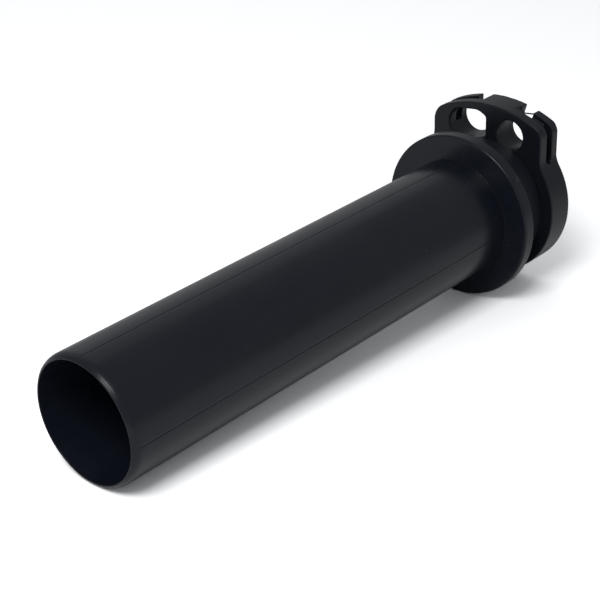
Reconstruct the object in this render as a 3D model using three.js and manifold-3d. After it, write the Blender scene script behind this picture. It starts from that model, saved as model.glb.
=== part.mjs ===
// Throttle tube of a motorcycle twist grip: a plain sleeve that turns on the handlebar, with a
// round flange and a cable cam at its inboard end. The cam is keyed onto the end of the sleeve.
//
// Frame, in millimetres: X runs along the handlebar axis towards the inboard end, Z points to the
// side that the cam's ear stands on, and the origin is on the axis at the cam's inboard face.
import * as THREE from 'three';
import { mergeVertices } from 'three/addons/utils/BufferGeometryUtils.js';
import Module from 'manifold-3d';

const wasm = await Module();
wasm.setup();

// ---- Driving dimensions ----
const GAP = 0.3;                 // clearance between the two pieces
const ROUND_STEPS = 72;          // sides of every turned surface

// Sleeve: slides over a bar of 22.2 mm
const BORE_RADIUS = 11.3;
const SLEEVE_RADIUS = 12.7;
const SLEEVE_LENGTH = 105.2;     // open end to the flange
const LIP_DROP = 0.6;            // the open end draws in by this much
const LIP_LENGTH = 1.8;          // over this length
const LIP_EDGE = 0.3;            // rounding of the very edge
const MOUTH_RADIUS = 11.7;       // bore at the open end
const LEAD_IN_DEPTH = 14.0;      // where it has narrowed to the full bore
const ROOT_FILLET = 0.4;         // where the sleeve meets the flange

// Flange: keeps the rubber grip off the throttle housing
const FLANGE_RADIUS = 18.0;
const FLANGE_THICKNESS = 3.0;
const FLANGE_EDGE = 0.4;         // rounding of its rim

// Neck: runs in the wall of the throttle housing
const NECK_RADIUS = 14.0;
const NECK_LENGTH = 8.6;         // flange to cam

// Spigot: the keyed end that carries the cam
const SPIGOT_RADIUS = 12.3;
const SPIGOT_CHAMFER = 0.4;
const KEY_ANGLES = [-90, 20, 160];  // degrees from +Y towards +Z
const KEY_HEIGHT = 1.3;
const KEY_WIDTH = 3.0;

// Cam: a drum with an ear that holds the two cable ends
const CAM_THICKNESS = 6.4;
const DRUM_RADIUS = 16.75;
const EAR_SIDES = [14.7, -13.1];    // Y of its two straight sides
const EAR_CORNERS = [2.0, 1.4];     // rounding where each side meets the top
const EAR_FILLETS = [3.0, 0.8];     // hollow fillet where each side meets the drum
const EAR_TOP = 21.7;
const EAR_TOP_RADIUS = 28.0;
const EAR_TOP_CENTRE = 0.3;         // Y of the highest point

// Groove in the ear's rim, between its front and back plates, where the cables lie
const FRONT_PLATE = 2.4;
const GROOVE_WIDTH = 2.0;
const GROOVE_DEPTH = 2.2;
const GROOVE_TOP_DEPTH = 1.1;       // shallower over the pockets, where the wall is thin
const GROOVE_ENDS = 11.3;           // Z of the rounded lower ends
const BRIDGE = [3.4, -5.0];         // Y span that has no groove

// Pockets for the cable ends, and the slots that the cables drop in through
const ROUND_POCKET = { y: -5.2, z: 15.9, radius: 3.35 };
const WIDE_POCKET = { y: 7.1, z: 15.9, radius: 3.45 };
const WIDE_POCKET_ARC = [-100, 95]; // degrees that its round outer side runs between
const WIDE_POCKET_CORNERS = [       // (y, z) of its straight walls, from the lower one to the upper
  [1.0, 14.3],
  [4.0, 13.1],
  [3.1, 19.9],
  [1.0, 18.8],
];
const NOTCHES = [
  { y: 4.75, z: 17.5, width: 2.7, lean: 0 },
  { y: -5.9, z: 18.0, width: 3.0, lean: 17 },
];
const CABLE_EXIT = { z: 16.5, height: 3.0 };

const CAM_FRONT = -CAM_THICKNESS;
const NECK_END = CAM_FRONT - GAP;
const FLANGE_BACK = CAM_FRONT - NECK_LENGTH;
const FLANGE_FRONT = FLANGE_BACK - FLANGE_THICKNESS;
const OPEN_END = FLANGE_FRONT - SLEEVE_LENGTH;
const PAST = 4;                     // how far a cutter runs past what it cuts

const RIGHT = Math.PI / 2;
const radians = THREE.MathUtils.degToRad;

// ---- Helpers ----
const X = new THREE.Vector3(1, 0, 0);
const Y = new THREE.Vector3(0, 1, 0);
const Z = new THREE.Vector3(0, 0, 1);

// A turned profile is drawn as (radius, x) and lies along Y until it is laid along X.
const LAY_LATHE = new THREE.Matrix4().makeBasis(Y, X, Z.clone().negate());
// An outline is drawn as (y, z) and extruded along X.
const LAY_OUTLINE = new THREE.Matrix4().makeBasis(Y, Z, X);

function solid(geometry) {
  geometry.deleteAttribute('normal');
  geometry.deleteAttribute('uv');
  const merged = mergeVertices(geometry, 1e-4);
  return new wasm.Manifold(new wasm.Mesh({
    numProp: 3,
    vertProperties: Float32Array.from(merged.attributes.position.array),
    triVerts: Uint32Array.from(merged.index.array),
  }));
}

function geometryOf(manifold) {
  const mesh = manifold.getMesh();
  const geometry = new THREE.BufferGeometry();
  geometry.setAttribute('position', new THREE.BufferAttribute(mesh.vertProperties, 3));
  geometry.setIndex(new THREE.BufferAttribute(mesh.triVerts, 1));
  geometry.computeVertexNormals();
  return geometry;
}

function slab(outline, fromX, toX) {
  const options = { depth: toX - fromX, bevelEnabled: false, curveSegments: 20 };
  const geometry = new THREE.ExtrudeGeometry(outline, options);
  return solid(geometry.applyMatrix4(LAY_OUTLINE).translate(fromX, 0, 0));
}

function block(sizeX, sizeY, sizeZ, x, y, z, lean = 0) {
  const geometry = new THREE.BoxGeometry(sizeX, sizeY, sizeZ);
  return solid(geometry.rotateX(radians(lean)).translate(x, y, z));
}

function quarterRound(centreRadius, centreX, radius, fromAngle, toAngle) {
  const steps = 4;
  return Array.from({ length: steps + 1 }, (_, i) => {
    const angle = radians(fromAngle + (toAngle - fromAngle) * i / steps);
    return [centreRadius + radius * Math.cos(angle), centreX + radius * Math.sin(angle)];
  });
}

// Key ribs on the spigot; with room > 0 they are the slots in the cam that take them.
function keys(room) {
  const length = CAM_THICKNESS + 2 * (room > 0 ? PAST : 0) - (room > 0 ? 0 : GAP);
  const centreX = room > 0 ? CAM_FRONT / 2 : (NECK_END - GAP) / 2;
  const inner = SPIGOT_RADIUS - 0.5;
  const outer = SPIGOT_RADIUS + KEY_HEIGHT + room;
  return KEY_ANGLES.map((angle) => {
    const rib = new THREE.BoxGeometry(length, outer - inner, KEY_WIDTH + 2 * room);
    rib.translate(centreX, (inner + outer) / 2, 0).rotateX(radians(angle));
    return solid(rib);
  });
}

// ---- Throttle tube ----
// Outer side of the open end: a rounded edge, then a curve out to the sleeve's radius.
function lip() {
  const steps = 4;
  const lipRadius = SLEEVE_RADIUS - LIP_DROP;
  const edge = quarterRound(lipRadius - LIP_EDGE, OPEN_END + LIP_EDGE, LIP_EDGE, -90, -20);
  const shoulder = Array.from({ length: steps }, (_, i) => {
    const along = (i + 1) / steps;
    return [SLEEVE_RADIUS - LIP_DROP * (1 - along) ** 2, OPEN_END + LIP_LENGTH * along];
  });
  return [...edge, ...shoulder];
}

function throttleTube() {
  const spigotEnd = -GAP;
  const profile = [
    ...lip(),
    ...quarterRound(SLEEVE_RADIUS + ROOT_FILLET, FLANGE_FRONT - ROOT_FILLET, ROOT_FILLET, 180, 90),
    ...quarterRound(FLANGE_RADIUS - FLANGE_EDGE, FLANGE_FRONT + FLANGE_EDGE, FLANGE_EDGE, -90, 0),
    ...quarterRound(FLANGE_RADIUS - FLANGE_EDGE, FLANGE_BACK - FLANGE_EDGE, FLANGE_EDGE, 0, 90),
    [NECK_RADIUS, FLANGE_BACK],
    [NECK_RADIUS, NECK_END],
    [SPIGOT_RADIUS, NECK_END],
    [SPIGOT_RADIUS, spigotEnd - SPIGOT_CHAMFER],
    [SPIGOT_RADIUS - SPIGOT_CHAMFER, spigotEnd],
    [BORE_RADIUS, spigotEnd],
    [BORE_RADIUS, OPEN_END + LEAD_IN_DEPTH],
    [MOUTH_RADIUS, OPEN_END],
    lip()[0],
  ];
  const points = profile.map(([radius, x]) => new THREE.Vector2(radius, x));
  const lathe = new THREE.LatheGeometry(points, ROUND_STEPS);
  let tube = solid(lathe.applyMatrix4(LAY_LATHE));
  for (const rib of keys(0)) tube = tube.add(rib);
  return geometryOf(tube);
}

// ---- Cable cam ----
// One side of the ear: where its fillet leaves the drum and its corner meets the top arc.
function earSide(index) {
  const side = EAR_SIDES[index];
  const way = Math.sign(side);
  const fillet = EAR_FILLETS[index];
  const corner = EAR_CORNERS[index];
  const filletY = side + way * fillet;
  const topZ = EAR_TOP - EAR_TOP_RADIUS;
  const cornerY = side - way * corner;
  const rise = Math.sqrt((EAR_TOP_RADIUS - corner) ** 2 - (cornerY - EAR_TOP_CENTRE) ** 2);
  return {
    fillet,
    corner,
    filletY,
    filletZ: Math.sqrt((DRUM_RADIUS + fillet) ** 2 - filletY ** 2),
    cornerY,
    cornerZ: topZ + rise,
    topAngle: Math.atan2(rise, cornerY - EAR_TOP_CENTRE),
  };
}

function camOutline() {
  const [left, right] = [earSide(0), earSide(1)];
  const outline = new THREE.Shape();
  const leftAngle = Math.atan2(left.filletZ, left.filletY);
  const rightAngle = Math.atan2(right.filletZ, right.filletY);
  outline.absarc(left.filletY, left.filletZ, left.fillet, Math.PI + leftAngle, Math.PI, true);
  outline.absarc(left.cornerY, left.cornerZ, left.corner, 0, left.topAngle, false);
  outline.absarc(EAR_TOP_CENTRE, EAR_TOP - EAR_TOP_RADIUS, EAR_TOP_RADIUS,
    left.topAngle, right.topAngle, false);
  outline.absarc(right.cornerY, right.cornerZ, right.corner, right.topAngle, Math.PI, false);
  outline.absarc(right.filletY, right.filletZ, right.fillet, 0, rightAngle - Math.PI, true);
  outline.absarc(0, 0, DRUM_RADIUS, rightAngle, 2 * Math.PI + leftAngle, false);
  return outline;
}

function roundPocket() {
  const { y, z, radius } = ROUND_POCKET;
  return new THREE.Shape().absarc(y, z, radius, 0, 2 * Math.PI, false);
}

// Round on the outer side, with sloping walls that close in on a straight one.
function widePocket() {
  const { y, z, radius } = WIDE_POCKET;
  const [low, lowOuter, highOuter, high] = WIDE_POCKET_CORNERS;
  const [fromAngle, toAngle] = WIDE_POCKET_ARC.map(radians);
  const outline = new THREE.Shape();
  outline.moveTo(...low);
  outline.lineTo(...lowOuter);
  outline.absarc(y, z, radius, fromAngle, toAngle, false);
  outline.lineTo(...highOuter);
  outline.lineTo(...high);
  return outline;
}

// Everything outside the ear's core, cut as one layer between the two plates.
function rimGroove() {
  const grooveFront = CAM_FRONT + FRONT_PLATE;
  const grooveBack = grooveFront + GROOVE_WIDTH;
  const [outerLeft, outerRight] = EAR_SIDES;
  const coreLeft = outerLeft - GROOVE_DEPTH;
  const coreRight = outerRight + GROOVE_DEPTH;
  const radius = EAR_TOP_RADIUS - GROOVE_TOP_DEPTH;
  const topZ = EAR_TOP - EAR_TOP_RADIUS;
  const angleAt = (y) => Math.acos((y - EAR_TOP_CENTRE) / radius);

  const core = new THREE.Shape();
  core.moveTo(coreRight, GROOVE_ENDS - PAST);
  core.lineTo(coreLeft, GROOVE_ENDS - PAST);
  core.absarc(EAR_TOP_CENTRE, topZ, radius, angleAt(coreLeft), angleAt(coreRight), false);

  const around = new THREE.Shape();
  around.moveTo(outerRight - PAST, GROOVE_ENDS);
  around.lineTo(outerLeft + PAST, GROOVE_ENDS);
  around.lineTo(outerLeft + PAST, EAR_TOP + PAST);
  around.lineTo(outerRight - PAST, EAR_TOP + PAST);

  const [bridgeLeft, bridgeRight] = BRIDGE;
  const bridge = block(PAST * 4, bridgeLeft - bridgeRight, PAST * 3,
    CAM_FRONT / 2, (bridgeLeft + bridgeRight) / 2, EAR_TOP);
  let groove = slab(around, grooveFront, grooveBack)
    .subtract(slab(core, grooveFront - PAST, grooveBack + PAST))
    .subtract(bridge);

  const middle = (grooveFront + grooveBack) / 2;
  for (const [inner, outer] of [[coreLeft, outerLeft + PAST], [outerRight - PAST, coreRight]]) {
    const end = new THREE.CylinderGeometry(GROOVE_WIDTH / 2, GROOVE_WIDTH / 2, outer - inner, 24);
    groove = groove.add(solid(end.translate(middle, (inner + outer) / 2, GROOVE_ENDS)));
  }
  return groove;
}

function cableCam() {
  const grooveFront = CAM_FRONT + FRONT_PLATE;
  let cam = slab(camOutline(), CAM_FRONT, 0);

  const bore = new THREE.CylinderGeometry(SPIGOT_RADIUS + GAP, SPIGOT_RADIUS + GAP,
    CAM_THICKNESS + 2 * PAST, ROUND_STEPS);
  cam = cam.subtract(solid(bore.rotateZ(RIGHT).translate(CAM_FRONT / 2, 0, 0)));
  for (const slot of keys(GAP)) cam = cam.subtract(slot);

  for (const pocket of [roundPocket(), widePocket()]) {
    cam = cam.subtract(slab(pocket, CAM_FRONT - PAST, PAST));
  }
  cam = cam.subtract(rimGroove());

  // Slots from the rim into each pocket, behind the front plate
  for (const { y, z, width, lean } of NOTCHES) {
    const height = EAR_TOP + PAST - z;
    const depth = PAST - grooveFront;
    const slot = new THREE.BoxGeometry(depth, width, height);
    slot.translate(grooveFront + depth / 2, 0, height / 2).rotateX(radians(lean));
    cam = cam.subtract(solid(slot.translate(0, y, z)));
  }

  // Channels from each pocket out to the groove at the ear's sides
  const channelX = grooveFront + GROOVE_WIDTH / 2;
  const [outerLeft, outerRight] = EAR_SIDES;
  for (const [from, to] of [[WIDE_POCKET.y, outerLeft], [outerRight, ROUND_POCKET.y]]) {
    cam = cam.subtract(block(GROOVE_WIDTH, to - from, CABLE_EXIT.height,
      channelX, (from + to) / 2, CABLE_EXIT.z));
  }
  return geometryOf(cam);
}

// ---- Assembly ----
const blackPlastic = new THREE.MeshStandardMaterial({
  color: 0x232528,
  roughness: 0.42,
  metalness: 0,
});

function piece(name, geometry) {
  const mesh = new THREE.Mesh(geometry, blackPlastic.clone());
  mesh.name = name;
  return mesh;
}

const throttleGrip = new THREE.Group();
throttleGrip.add(piece('throttle_tube', throttleTube()));
throttleGrip.add(piece('cable_cam', cableCam()));

export default throttleGrip;
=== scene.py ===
"""Throttle tube of a motorcycle twist grip: a satin black moulded sleeve with a flange and a keyed
cable cam, lying on a pale floor. Geometry is worked out in millimetres and made in metres."""
import math

import bpy
import numpy as np
from mathutils import Matrix, Vector


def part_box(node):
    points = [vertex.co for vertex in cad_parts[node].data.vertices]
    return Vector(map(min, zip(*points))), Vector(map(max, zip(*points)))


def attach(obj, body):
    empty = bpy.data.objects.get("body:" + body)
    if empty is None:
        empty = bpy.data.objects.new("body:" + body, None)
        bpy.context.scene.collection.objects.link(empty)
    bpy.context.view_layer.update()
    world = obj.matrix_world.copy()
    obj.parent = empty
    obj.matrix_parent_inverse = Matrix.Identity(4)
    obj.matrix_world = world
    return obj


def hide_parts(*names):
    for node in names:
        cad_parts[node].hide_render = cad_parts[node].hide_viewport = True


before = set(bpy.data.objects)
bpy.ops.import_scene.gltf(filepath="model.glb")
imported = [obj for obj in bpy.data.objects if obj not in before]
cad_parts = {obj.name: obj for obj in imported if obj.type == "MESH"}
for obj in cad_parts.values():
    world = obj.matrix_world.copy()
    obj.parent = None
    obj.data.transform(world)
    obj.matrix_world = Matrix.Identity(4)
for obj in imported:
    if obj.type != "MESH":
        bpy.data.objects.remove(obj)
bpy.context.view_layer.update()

MM = 0.001


def box_mm(node):
    low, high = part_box(node)
    return [v / MM for v in low], [v / MM for v in high]


TUBE_LOW, TUBE_HIGH = box_mm("throttle_tube")
CAM_LOW, CAM_HIGH = box_mm("cable_cam")

# ---- Sizes in millimetres, as the CAD pieces have them ----
OPEN_END = TUBE_LOW[0]
SPIGOT_END = TUBE_HIGH[0]
FLANGE_RADIUS = TUBE_HIGH[1]
BORE_RADIUS = 11.3
SLEEVE_RADIUS = 12.7
LIP_DROP = 0.6                      # the open end draws in by this, over LIP_LENGTH
LIP_LENGTH = 1.8
LIP_EDGE = 0.3                      # rounding of the very edge
LEAD_IN_DEPTH = 14.0                # depth at which the tapered mouth reaches BORE_RADIUS
FLANGE_THICKNESS = 3.0
FLANGE_EDGE = 0.4
NECK_RADIUS = 14.0
NECK_LENGTH = 8.6
SPIGOT_RADIUS = 12.3
SPIGOT_CHAMFER = 0.4
KEY_ANGLES = (-90, 20, 160)         # degrees from +Y towards +Z
KEY_HEIGHT = 1.3
KEY_WIDTH = 3.0
GAP = 0.3                           # between the spigot with its keys and the cam

CAM_FRONT = CAM_LOW[0]
CAM_BACK = CAM_HIGH[0]
DRUM_RADIUS = -CAM_LOW[2]
EAR_LEFT, EAR_RIGHT = 14.7, -13.1
EAR_CORNER_LEFT, EAR_CORNER_RIGHT = 2.0, 1.4
EAR_FILLET_LEFT, EAR_FILLET_RIGHT = 3.0, 0.8
EAR_TOP = CAM_HIGH[2]
EAR_TOP_RADIUS = 28.0
EAR_TOP_CENTRE = 0.3                # Y of the highest point
FRONT_PLATE = 2.4
GROOVE_WIDTH = 2.0
GROOVE_DEPTH = 2.2
GROOVE_TOP_DEPTH = 1.1
GROOVE_ENDS = 11.3
BRIDGE_LEFT, BRIDGE_RIGHT = 3.4, -5.0
ROUND_POCKET = (-5.2, 15.9, 3.35)   # centre Y and Z, radius
WIDE_POCKET = (7.1, 15.9, 3.45)     # the same for its round outer side
WIDE_POCKET_SIDE = 1.0              # Y of its straight wall
LOW_WALL = (3, -0.46, -0.81)        # run in Y, and its two ends' Z from the centre in radii
HIGH_WALL = (2.1, 0.84, 1.15)
NOTCHES = ((4.75, 17.5, 2.7, 0), (-5.9, 18.0, 3.0, 17))  # foot Y and Z, width, lean in degrees
CABLE_EXIT_Z, CABLE_EXIT_HEIGHT = 16.5, 3.0

FLANGE_BACK = CAM_FRONT - NECK_LENGTH
FLANGE_FRONT = FLANGE_BACK - FLANGE_THICKNESS

# ---- Small features that only the visual model has ----
TOUCHING = 0.03                     # between the neck's end and the cam, so that no crack shows
ROOT_FILLET = 0.04                  # sleeve to flange, nearly sharp
NECK_EDGE = 0.1                     # rounding of the neck's end
MOUTH_EDGE = 0.12                   # inner rounding of the open end
BORE_CHAMFER = 0.2                  # at the spigot's end
SEAM_ANGLES = (1, 91, 181.5, 271)   # mould parting lines along the sleeve, from +Y towards +Z
SEAM_HALF_WIDTH = 0.13
SEAM_DEPTH = 0.10
NIB_ANGLE, NIB_HEIGHT, NIB_WIDTH = 140, 0.25, 1.0   # small mark on the flange's rim
NIB_TAPER = 4                       # the larger, the sooner the nib fades towards the rim's edges
FLASH = ((-4.0, 18.95), (-7.0, 19.35))              # Y, Z of a thread across the right notch
FLASH_RADIUS = 0.16
CAM_EDGE = 0.16                     # rounding of the cam's outer edges
CUT_EDGE = 0.12                     # rounding of the edges of its pockets and slots
POCKET_CORNER = 0.5                 # rounding between the wide pocket's walls
GROOVE_CORNER = 0.1                 # rounding where the rim groove's cuts meet

# ---- Fineness of the meshes ----
CAM_PITCH = 0.17                    # size of the cam's mesh cells, in millimetres
TUBE_STEP = 1.5                     # degrees between the tube's edges
LIP_RINGS, SLEEVE_RINGS, RIM_RINGS, BORE_RINGS = 14, 24, 6, 12
FACE_RINGS = (14.5, 16, 17)         # radii of the rings across the flange's front face
RIM_MARGIN = 0.8                    # from the flange's faces to the nearest ring on its rim
SLEEVE_MARGINS = (2, 1.5)           # from the lip and from the flange to the sleeve's end rings
LIP_MARGIN = 0.4                    # from the open end to the first ring of the lip
BORE_MARGIN = 2                     # from the spigot's end to the first ring of the bore
KEY_MARGIN_X, KEY_MARGIN_RADIUS = 0.02, 0.1         # kept free round the foot of each key
SEAM_STEPS = (-2.5, -1, -0.5, 0, 0.5, 1, 2.5)       # extra edges at a seam, in half widths
KEY_STEPS = (-0.5, -0.15, 0.15, 0.5)                # extra edges at a key's side, in degrees
KEY_FLANK = 0.4                     # degrees over which a key's side rises
NIB_REACH, NIB_EDGES = 4, 17        # degrees each side of the nib, and edges among them
SNAP_ROUNDS = 5                     # steps that bring the cam's points onto its surface
LEAST_SLOPE = 0.1                   # keeps those steps short where the field is flat
DEEP_INSIDE = -1e3                  # what a field starts from before its walls are cut


# ---- Mesh helpers ----
def make_mesh(name, points_mm, faces):
    mesh = bpy.data.meshes.new(name)
    mesh.from_pydata((np.asarray(points_mm) * MM).tolist(), [], [list(f) for f in faces])
    mesh.validate()
    mesh.polygons.foreach_set("use_smooth", [True] * len(mesh.polygons))
    mesh.update()
    piece = bpy.data.objects.new(name, mesh)
    bpy.context.scene.collection.objects.link(piece)
    return piece


def slope_of(field, points, step=0.01):
    """The field's gradient at each point, by central differences."""
    slope = np.empty_like(points)
    for axis in range(3):
        shift = np.zeros(3)
        shift[axis] = step
        ahead, behind = (points + shift).T, (points - shift).T
        slope[:, axis] = (field(*ahead) - field(*behind)) / (2 * step)
    return slope


def surface_net(field, low, high, pitch):
    """A closed quad mesh on the zero level of a field that is negative inside the solid."""
    axes = [np.arange(a, b + pitch, pitch) for a, b in zip(low, high)]
    inside = field(*np.meshgrid(*axes, indexing="ij")) < 0
    size = np.array(inside.shape) - 1
    count = np.zeros(size, np.int8)
    for i, j, k in np.ndindex(2, 2, 2):
        count += inside[i:size[0] + i, j:size[1] + j, k:size[2] + k]
    mixed = (count > 0) & (count < 8)
    index = np.zeros(mixed.shape, int)
    index[mixed] = np.arange(mixed.sum())
    points = np.array(low) + (np.argwhere(mixed) + 0.5) * pitch
    for _ in range(SNAP_ROUNDS):
        slope = slope_of(field, points)
        reach = field(*points.T) / np.maximum((slope ** 2).sum(1), LEAST_SLOPE)
        points -= np.clip(reach[:, None] * slope, -pitch / 2, pitch / 2)

    quads = []
    for axis in range(3):
        a, b = (axis + 1) % 3, (axis + 2) % 3
        span = [slice(1, n) for n in size]
        span[axis] = slice(0, size[axis])
        lower = inside[tuple(span)]
        span[axis] = slice(1, size[axis] + 1)
        upper = inside[tuple(span)]
        cells = np.argwhere(lower != upper)
        outward = lower[tuple(cells.T)]
        ring = []
        for step_a, step_b in ((0, 0), (1, 0), (1, 1), (0, 1)):
            corner = cells.copy()
            corner[:, a] += step_a
            corner[:, b] += step_b
            ring.append(index[tuple(corner.T)])
        ring = np.stack(ring, 1)
        quads += [ring[outward], ring[~outward][:, ::-1]]
    return points, np.concatenate(quads)


def both(a, b, radius):
    """Where both solids are, with their shared edge rounded."""
    outer = np.hypot(np.maximum(radius + a, 0), np.maximum(radius + b, 0))
    return np.minimum(-radius, np.maximum(a, b)) + outer


def either(a, b, radius):
    """Where either solid is, with a hollow fillet between them."""
    inner = np.hypot(np.maximum(radius - a, 0), np.maximum(radius - b, 0))
    return np.maximum(radius, np.minimum(a, b)) - inner


def straight(start, end, radius, count):
    """Stations (x, radius) along a cylinder."""
    return [(x, radius) for x in np.linspace(start, end, count)]


def arc(centre_radius, centre_x, radius, start, end, steps=7):
    """Stations (x, radius) round a small arc of a turned profile."""
    return [
        (centre_x + radius * math.sin(a), centre_radius + radius * math.cos(a))
        for a in np.radians(np.linspace(start, end, steps))
    ]


# ---- Throttle tube ----
SEAM_HALF_ANGLE = math.degrees(SEAM_HALF_WIDTH / SLEEVE_RADIUS)
KEY_HALF_ANGLE = math.degrees(math.asin(KEY_WIDTH / 2 / SPIGOT_RADIUS))


def shoulder(x):
    """The sleeve's radius where its open end draws in."""
    return SLEEVE_RADIUS - LIP_DROP * max(0, 1 - (x - OPEN_END) / LIP_LENGTH) ** 2


def tube_profile():
    """Stations (x, radius, zone) round the closed section of the tube."""
    lip_centre = shoulder(OPEN_END) - LIP_EDGE
    rim_centre = FLANGE_RADIUS - FLANGE_EDGE
    root, neck_root = ROOT_FILLET, ROOT_FILLET / 2
    neck_end = CAM_FRONT - TOUCHING
    key_radius = SPIGOT_RADIUS + KEY_HEIGHT
    lip_start, lip_end = OPEN_END + LIP_MARGIN, OPEN_END + LIP_LENGTH
    sleeve_start, sleeve_end = lip_end + SLEEVE_MARGINS[0], FLANGE_FRONT - SLEEVE_MARGINS[1]
    rim_start, rim_end = FLANGE_FRONT + RIM_MARGIN, FLANGE_BACK - RIM_MARGIN
    bore_start, bore_end = SPIGOT_END - BORE_MARGIN, OPEN_END + LEAD_IN_DEPTH
    bands = (
        ("lip", arc(lip_centre, OPEN_END + LIP_EDGE, LIP_EDGE, -90, -20, 6)),
        ("sleeve", [(x, shoulder(x)) for x in np.linspace(lip_start, lip_end, LIP_RINGS)]),
        ("sleeve", straight(sleeve_start, sleeve_end, SLEEVE_RADIUS, SLEEVE_RINGS)),
        ("root", arc(SLEEVE_RADIUS + root, FLANGE_FRONT - root, root, 180, 90)),
        ("face", [(FLANGE_FRONT, radius) for radius in FACE_RINGS]),
        ("rim", arc(rim_centre, FLANGE_FRONT + FLANGE_EDGE, FLANGE_EDGE, -90, 0)),
        ("rim", straight(rim_start, rim_end, FLANGE_RADIUS, RIM_RINGS)),
        ("rim", arc(rim_centre, FLANGE_BACK - FLANGE_EDGE, FLANGE_EDGE, 0, 90)),
        ("neck", arc(NECK_RADIUS + neck_root, FLANGE_BACK + neck_root, neck_root, -90, -180)),
        ("neck", arc(NECK_RADIUS - NECK_EDGE, neck_end - NECK_EDGE, NECK_EDGE, 0, 90, 4)),
        ("neck", [(neck_end, key_radius + KEY_MARGIN_RADIUS)]),
        ("spigot", [(neck_end + KEY_MARGIN_X, SPIGOT_RADIUS)]),
        ("spigot", [(SPIGOT_END - SPIGOT_CHAMFER, SPIGOT_RADIUS)]),
        ("spigot end", [(SPIGOT_END, SPIGOT_RADIUS - SPIGOT_CHAMFER)]),
        ("bore", [(SPIGOT_END, BORE_RADIUS + BORE_CHAMFER)]),
        ("bore", [(SPIGOT_END - BORE_CHAMFER, BORE_RADIUS)]),
        ("bore", straight(bore_start, bore_end, BORE_RADIUS, BORE_RINGS)),
        ("bore", arc(lip_centre, OPEN_END + MOUTH_EDGE, MOUTH_EDGE, 180, 270, 4)),
    )
    return [(x, radius, zone) for zone, stations in bands for x, radius in stations]


def tube_angles():
    """Every angle, in degrees, that the turned surface has an edge at."""
    angles = set(np.arange(0, 360, TUBE_STEP))
    for centre in SEAM_ANGLES:
        angles |= {(centre + SEAM_HALF_ANGLE * step) % 360 for step in SEAM_STEPS}
    for centre in KEY_ANGLES:
        for side in (-KEY_HALF_ANGLE, KEY_HALF_ANGLE):
            angles |= {(centre + side + step) % 360 for step in KEY_STEPS}
    angles |= {NIB_ANGLE + step for step in np.linspace(-NIB_REACH, NIB_REACH, NIB_EDGES)}
    return np.array(sorted(angles))


def away(angles, centre):
    """Degrees from centre, between -180 and 180."""
    return (angles - centre + 180) % 360 - 180


def tube_points(profile, angles):
    """The turned surface's points, with its seams, keys and nib."""
    from_seams = [abs(away(angles, centre)) / SEAM_HALF_ANGLE for centre in SEAM_ANGLES]
    groove = sum(np.clip(1 - distance, 0, 1) for distance in from_seams)
    flanks = [(KEY_HALF_ANGLE - abs(away(angles, centre))) / KEY_FLANK for centre in KEY_ANGLES]
    key = sum(np.clip(0.5 + flank, 0, 1) for flank in flanks)
    round_rim = np.radians(away(angles, NIB_ANGLE)) * FLANGE_RADIUS
    nib = np.exp(-(2 * round_rim / NIB_WIDTH) ** 4)
    a = np.radians(angles)
    rows = []
    for x, radius, zone in profile:
        r = np.full(len(angles), float(radius))
        if zone == "sleeve":
            r -= SEAM_DEPTH * min(1, (x - OPEN_END) / LIP_LENGTH) * groove
        if zone == "rim":
            across = (x - (FLANGE_FRONT + FLANGE_BACK) / 2) / FLANGE_THICKNESS
            r += NIB_HEIGHT * nib * math.exp(-(across * NIB_TAPER) ** 2)
        if zone.startswith("spigot"):
            r += KEY_HEIGHT * key
        rows.append(np.stack([np.full(len(a), x), r * np.cos(a), r * np.sin(a)], 1))
    return np.concatenate(rows)


def throttle_tube():
    profile = tube_profile()
    angles = tube_angles()
    rows, columns = len(profile), len(angles)
    faces = []
    for i in range(rows):
        here, ahead = i * columns, (i + 1) % rows * columns
        for j in range(columns):
            j2 = (j + 1) % columns
            faces.append((here + j, ahead + j, ahead + j2, here + j2))
    return make_mesh("throttle_tube_skin", tube_points(profile, angles), faces)


# ---- Cable cam ----
def cam_outline(y, z):
    """The cam's outer shape: a drum, and an ear with straight sides and an arched top."""
    drum = np.hypot(y, z) - DRUM_RADIUS
    top = np.hypot(y - EAR_TOP_CENTRE, z - EAR_TOP + EAR_TOP_RADIUS) - EAR_TOP_RADIUS
    left = both(y - EAR_LEFT, top, EAR_CORNER_LEFT)
    right = both(EAR_RIGHT - y, top, EAR_CORNER_RIGHT)
    is_left = y > EAR_TOP_CENTRE
    ear = np.maximum(np.where(is_left, left, right), -z)
    joined_left = either(drum, ear, EAR_FILLET_LEFT)
    joined_right = either(drum, ear, EAR_FILLET_RIGHT)
    return np.where(is_left, joined_left, joined_right)


def wide_pocket(y, z):
    """Round on the outer side, with sloping walls that close in on a straight one."""
    cy, cz, radius = WIDE_POCKET
    side = WIDE_POCKET_SIDE
    low_run, low_near, low_far = LOW_WALL
    high_run, high_near, high_far = HIGH_WALL
    corners = (
        (side, cz + radius * low_near),
        (side + low_run, cz + radius * low_far),
        (cy, cz - radius),
        (cy, cz + radius),
        (side + high_run, cz + radius * high_far),
        (side, cz + radius * high_near),
    )
    walls = []
    for (y0, z0), (y1, z1) in zip(corners, corners[1:] + corners[:1]):
        length = math.hypot(y1 - y0, z1 - z0)
        walls.append(((z1 - z0) * (y - y0) - (y1 - y0) * (z - z0)) / length)
    inner = np.full(np.shape(y), DEEP_INSIDE)
    for wall in walls:
        inner = both(inner, wall, POCKET_CORNER)
    return np.minimum(inner, np.hypot(y - cy, z - cz) - radius)


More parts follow.
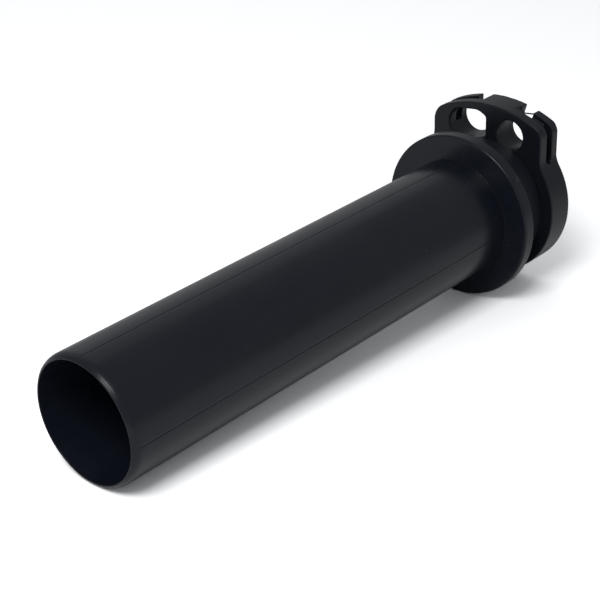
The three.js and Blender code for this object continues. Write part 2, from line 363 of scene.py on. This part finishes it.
def rim_groove(x, y, z):
    """The channel round the ear's rim, between its two plates, that the cables lie in."""
    middle = CAM_FRONT + FRONT_PLATE + GROOVE_WIDTH / 2
    channel = np.hypot(x - middle, np.minimum(z - GROOVE_ENDS, 0)) - GROOVE_WIDTH / 2
    radius = EAR_TOP_RADIUS - GROOVE_TOP_DEPTH
    top = np.hypot(y - EAR_TOP_CENTRE, z - EAR_TOP + EAR_TOP_RADIUS) - radius
    sides = np.maximum(y - EAR_LEFT + GROOVE_DEPTH, EAR_RIGHT + GROOVE_DEPTH - y)
    bridge = np.maximum(y - BRIDGE_LEFT, BRIDGE_RIGHT - y)
    ring = both(channel, -np.maximum(sides, top), GROOVE_CORNER)
    return both(ring, -bridge, GROOVE_CORNER)


def flash(x, y, z):
    """A thin thread of plastic from FLASH[0] to FLASH[1], just inside the cam's back face."""
    (y0, z0), (y1, z1) = FLASH
    run = (y1 - y0) ** 2 + (z1 - z0) ** 2
    along = np.clip(((y - y0) * (y1 - y0) + (z - z0) * (z1 - z0)) / run, 0, 1)
    across = np.hypot(y - y0 - along * (y1 - y0), z - z0 - along * (z1 - z0))
    return np.hypot(x - CAM_BACK + 2 * FLASH_RADIUS, across) - FLASH_RADIUS


def cable_cam_field(x, y, z):
    """Negative inside the cam: its plate, less the bore, key slots, pockets, groove and notches."""
    middle = (CAM_FRONT + CAM_BACK) / 2
    body = both(cam_outline(y, z), abs(x - middle) - (CAM_BACK - CAM_FRONT) / 2, CAM_EDGE)
    body = both(body, SPIGOT_RADIUS + GAP - np.hypot(y, z), CUT_EDGE)
    for angle in np.radians(KEY_ANGLES):
        out = y * math.cos(angle) + z * math.sin(angle)
        across = z * math.cos(angle) - y * math.sin(angle)
        slot = np.maximum(abs(across) - KEY_WIDTH / 2 - GAP, out - SPIGOT_RADIUS - KEY_HEIGHT - GAP)
        body = both(body, -np.maximum(slot, -out), CUT_EDGE)
    cy, cz, radius = ROUND_POCKET
    body = both(body, radius - np.hypot(y - cy, z - cz), CUT_EDGE)
    body = both(body, -wide_pocket(y, z), CUT_EDGE)
    body = both(body, -rim_groove(x, y, z), CUT_EDGE)
    for ny, nz, width, lean in NOTCHES:
        tilt = math.radians(lean)
        across = (y - ny) * math.cos(tilt) + (z - nz) * math.sin(tilt)
        up = (z - nz) * math.cos(tilt) - (y - ny) * math.sin(tilt)
        slot = np.maximum(abs(across) - width / 2, -up)
        slot = np.maximum(slot, CAM_FRONT + FRONT_PLATE - x)
        body = both(body, -slot, CUT_EDGE)
    groove_middle = CAM_FRONT + FRONT_PLATE + GROOVE_WIDTH / 2
    channel = np.maximum(abs(z - CABLE_EXIT_Z) - CABLE_EXIT_HEIGHT / 2,
                         abs(x - groove_middle) - GROOVE_WIDTH / 2)
    outside = np.minimum(WIDE_POCKET[0] - y, y - ROUND_POCKET[0])
    body = both(body, -np.maximum(channel, outside), CUT_EDGE)
    return np.minimum(body, flash(x, y, z))


def cable_cam():
    margin = 3 * CAM_PITCH
    low = [v - margin for v in CAM_LOW]
    high = [v + margin for v in CAM_HIGH]
    points, quads = surface_net(cable_cam_field, low, high, CAM_PITCH)
    return make_mesh("cable_cam_skin", points, quads)


# ---- Materials ----
PLASTIC_IOR = 1.41
TUBE_COLOURS = (0.0070, 0.0095, 0.0165, 1), (0.0100, 0.0125, 0.0195, 1)
TUBE_ROUGHNESS = 0.26
CAM_COLOURS = (0.0070, 0.0085, 0.0135, 1), (0.0100, 0.0115, 0.0165, 1)
CAM_ROUGHNESS = 0.35
WORN_ROUGHNESS = 0.3         # added where the plastic has run in the housing
FLOW_STRETCH = (14, 420, 420)
FLOW_SHARE = 0.5             # of the flow noise, added to the whole of the cloud noise
CLOUD_SCALE = 90.0
COLOUR_TONES = (0.45, 1.0)   # noise values at which the two colours are reached
GLOSS_TONES = (0.5, 1.1)     # noise values at which the roughness changes by GLOSS_CHANGES
GLOSS_CHANGES = (-0.05, 0.06)
DUST_SCALE = 230.0
DUST_COLOUR = (0.12, 0.12, 0.115, 1)
SPECK_RADII = (0.035, 0.02)  # where a speck begins and where it is solid, in cells
CLEAN_CELLS = 0.86           # share of the cells that have no speck
GRAIN_SCALE = 3200.0
GRAIN_STRENGTH = 0.12
GRAIN_HEIGHT = 0.1           # millimetres


def feed(tree, socket, source):
    """Link another node's output to a socket, or set the socket to a plain value."""
    if isinstance(source, bpy.types.NodeSocket):
        tree.links.new(source, socket)
    else:
        socket.default_value = source


def node(tree, kind, **inputs):
    made = tree.nodes.new(kind)
    for name, source in inputs.items():
        feed(tree, made.inputs[name.replace("_", " ")], source)
    return made


def maths(tree, operation, *terms):
    made = tree.nodes.new("ShaderNodeMath")
    made.operation = operation
    for socket, term in zip(made.inputs, terms):
        feed(tree, socket, term)
    return made.outputs[0]


def flow_marks(tree, place):
    """Noise drawn out along X, as the plastic flowed, with soft clouds added."""
    stretched = node(tree, "ShaderNodeMapping", Vector=place, Scale=FLOW_STRETCH).outputs["Vector"]
    flow = node(tree, "ShaderNodeTexNoise", Vector=stretched, Scale=1.0, Detail=4.0, Roughness=0.6)
    cloud = node(tree, "ShaderNodeTexNoise", Vector=place, Scale=CLOUD_SCALE, Detail=3.0,
                 Roughness=0.55)
    return maths(tree, "MULTIPLY_ADD", flow.outputs["Fac"], FLOW_SHARE, cloud.outputs["Fac"])


def dust(tree, place):
    """A mask of small round specks, in a few of the cells of a pattern."""
    cells = node(tree, "ShaderNodeTexVoronoi", Vector=place, Scale=DUST_SCALE)
    small = node(tree, "ShaderNodeMapRange", Value=cells.outputs["Distance"],
                 From_Min=SPECK_RADII[0], From_Max=SPECK_RADII[1])
    parts = node(tree, "ShaderNodeSeparateColor", Color=cells.outputs["Color"])
    chosen = maths(tree, "GREATER_THAN", parts.outputs["Red"], CLEAN_CELLS)
    return maths(tree, "MULTIPLY", small.outputs["Result"], chosen)


def duller_past(tree, place, roughness, worn_past):
    """The roughness, raised where X is greater than worn_past, in millimetres."""
    along = node(tree, "ShaderNodeSeparateXYZ", Vector=place).outputs["X"]
    worn = maths(tree, "GREATER_THAN", along, worn_past * MM)
    return maths(tree, "MULTIPLY_ADD", worn, WORN_ROUGHNESS, roughness)


def moulded_plastic(name, colours, roughness, worn_past=None):
    """Satin moulded plastic with a fine grain, faint flow marks along X and a few specks of dust.
    With worn_past it is duller beyond that X, as if it had run in a housing."""
    material = bpy.data.materials.new(name)
    material.use_nodes = True
    tree = material.node_tree
    shader = tree.nodes["Principled BSDF"]
    shader.inputs["IOR"].default_value = PLASTIC_IOR
    place = tree.nodes.new("ShaderNodeTexCoord").outputs["Object"]

    tone = flow_marks(tree, place)
    ramp = node(tree, "ShaderNodeValToRGB", Fac=tone)
    for stop, position, shade in zip(ramp.color_ramp.elements, COLOUR_TONES, colours):
        stop.position = position
        stop.color = shade
    colour = tree.nodes.new("ShaderNodeMix")
    colour.data_type = "RGBA"
    feed(tree, colour.inputs["A"], ramp.outputs["Color"])
    feed(tree, colour.inputs["B"], DUST_COLOUR)
    feed(tree, colour.inputs["Factor"], dust(tree, place))
    feed(tree, shader.inputs["Base Color"], colour.outputs["Result"])

    smoothest, roughest = [roughness + change for change in GLOSS_CHANGES]
    gloss = node(tree, "ShaderNodeMapRange", Value=tone, From_Min=GLOSS_TONES[0],
                 From_Max=GLOSS_TONES[1], To_Min=smoothest, To_Max=roughest).outputs["Result"]
    if worn_past is not None:
        gloss = duller_past(tree, place, gloss, worn_past)
    feed(tree, shader.inputs["Roughness"], gloss)

    grain = node(tree, "ShaderNodeTexNoise", Vector=place, Scale=GRAIN_SCALE, Detail=2.0,
                 Roughness=0.5)
    bump = node(tree, "ShaderNodeBump", Height=grain.outputs["Fac"], Strength=GRAIN_STRENGTH,
                Distance=GRAIN_HEIGHT * MM)
    feed(tree, shader.inputs["Normal"], bump.outputs["Normal"])
    return material


# ---- Floor, light and camera ----
# The tube lies on its sleeve, just behind the lip, and on the flange's front edge, so the floor
# leans a little in the part's frame.
SLEEVE_TOUCH = OPEN_END + LIP_LENGTH
FLANGE_TOUCH = FLANGE_FRONT + FLANGE_EDGE
FLOOR_LEAN = math.atan2(FLANGE_RADIUS - SLEEVE_RADIUS, FLANGE_TOUCH - SLEEVE_TOUCH)
FLOOR_UP = Vector((math.sin(FLOOR_LEAN), 0, math.cos(FLOOR_LEAN)))
FLOOR_ALONG = Vector((math.cos(FLOOR_LEAN), 0, -math.sin(FLOOR_LEAN)))
TOUCH = Vector((SLEEVE_TOUCH, 0, -SLEEVE_RADIUS))
ACROSS = Vector((0, 1, 0))
VIEW_AZIMUTH = 41.75         # degrees round from the open end's axis to the camera
VIEW_ELEVATION = 25.75       # degrees above the floor
VIEW_TARGET = Vector((-67.8, 0.3, 0.33))
VIEW_DISTANCE = 289.5
LENS = 90.14
SENSOR = 36.0
FLOOR_HALF_SIZE = 900
FLOOR_GAP = 0.02             # between the tube and the floor
PAPER_WHITE = 0.93
PAPER_LIFT = 2.5             # how far the picture over-exposes the paper
LAMPS = {                    # place as on_floor takes it, size in millimetres, power in watts
    "key": ((-300, -120, 400), (170, 190), 0.95),
    "softbox": ((230, 360, 330), (700, 480), 0.14),
}
LAMP_TARGET = (0, 0, 10)
SURROUND_COLOUR = (0.96, 0.98, 1.0, 1)
SURROUND_STRENGTH = 0.285


def on_floor(along, across, up):
    """A point in millimetres from the tube's middle: along the tube, across it, above the floor."""
    middle = TOUCH + FLOOR_ALONG * (FLANGE_TOUCH - SLEEVE_TOUCH) / 2
    return middle + FLOOR_ALONG * along + ACROSS * across + FLOOR_UP * up


def facing(location, target, up=FLOOR_UP):
    """Where an object stands that looks from location, in millimetres, to target."""
    back = (location - target).normalized()
    right = up.cross(back).normalized()
    turn = Matrix((right, back.cross(right), back)).transposed().to_4x4()
    return Matrix.Translation(location * MM) @ turn


def seen_or_not(tree, unseen, seen, output):
    """Give output one shader in the picture itself and another in light and reflections."""
    path = tree.nodes.new("ShaderNodeLightPath")
    mix = tree.nodes.new("ShaderNodeMixShader")
    tree.links.new(path.outputs["Is Camera Ray"], mix.inputs["Fac"])
    tree.links.new(unseen.outputs[0], mix.inputs[1])
    tree.links.new(seen.outputs[0], mix.inputs[2])
    tree.links.new(mix.outputs[0], tree.nodes[output].inputs["Surface"])


def floor_paper():
    """White paper, which the picture shows over-exposed, as a product picture does."""
    material = bpy.data.materials.new("floor_paper")
    material.use_nodes = True
    tree = material.node_tree
    paper = node(tree, "ShaderNodeBsdfDiffuse", Color=(*[PAPER_WHITE] * 3, 1))
    lifted = node(tree, "ShaderNodeBsdfDiffuse", Color=(*[PAPER_WHITE * PAPER_LIFT] * 3, 1))
    seen_or_not(tree, paper, lifted, "Material Output")
    return material


def add_floor():
    size = FLOOR_HALF_SIZE * MM
    mesh = bpy.data.meshes.new("floor")
    corners = [(-size, -size, 0), (size, -size, 0), (size, size, 0), (-size, size, 0)]
    mesh.from_pydata(corners, [], [(0, 1, 2, 3)])
    floor = bpy.data.objects.new("floor", mesh)
    bpy.context.scene.collection.objects.link(floor)
    turn = Matrix((FLOOR_ALONG, ACROSS, FLOOR_UP)).transposed().to_4x4()
    floor.matrix_world = Matrix.Translation(on_floor(0, 0, -FLOOR_GAP) * MM) @ turn
    mesh.materials.append(floor_paper())


def add_light(name, place, target, size, power):
    light = bpy.data.lights.new(name, "AREA")
    light.shape = "RECTANGLE"
    light.size, light.size_y = [side * MM for side in size]
    light.energy = power
    lamp = bpy.data.objects.new(name, light)
    bpy.context.scene.collection.objects.link(lamp)
    lamp.matrix_world = facing(place, target, ACROSS)


def add_lights():
    for name, (place, size, power) in LAMPS.items():
        add_light(name, on_floor(*place), on_floor(*LAMP_TARGET), size, power)
    world = bpy.data.worlds.new("studio")
    bpy.context.scene.world = world
    world.use_nodes = True
    tree = world.node_tree
    fill = tree.nodes["Background"]
    fill.inputs["Color"].default_value = SURROUND_COLOUR
    fill.inputs["Strength"].default_value = SURROUND_STRENGTH
    white = node(tree, "ShaderNodeBackground", Color=(1, 1, 1, 1))
    seen_or_not(tree, fill, white, "World Output")


def add_camera():
    around, above = math.radians(VIEW_AZIMUTH), math.radians(VIEW_ELEVATION)
    level = -FLOOR_ALONG * math.cos(around) - ACROSS * math.sin(around)
    back = level * math.cos(above) + FLOOR_UP * math.sin(above)
    data = bpy.data.cameras.new("camera")
    data.lens, data.sensor_width = LENS, SENSOR
    camera = bpy.data.objects.new("camera", data)
    bpy.context.scene.collection.objects.link(camera)
    camera.matrix_world = facing(VIEW_TARGET + back * VIEW_DISTANCE, VIEW_TARGET)
    data.clip_start, data.clip_end = 0.01, 10
    bpy.context.scene.camera = camera


# ---- Assembly ----
def dress(piece, material, replaced):
    piece.data.materials.append(material)
    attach(piece, "root")
    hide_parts(replaced)


bpy.context.scene.view_settings.view_transform = "Standard"
tube_plastic = moulded_plastic("tube_plastic", TUBE_COLOURS, TUBE_ROUGHNESS,
                               FLANGE_BACK - FLANGE_EDGE)
cam_plastic = moulded_plastic("cam_plastic", CAM_COLOURS, CAM_ROUGHNESS)
dress(throttle_tube(), tube_plastic, "throttle_tube")
dress(cable_cam(), cam_plastic, "cable_cam")
add_camera()
add_floor()
add_lights()
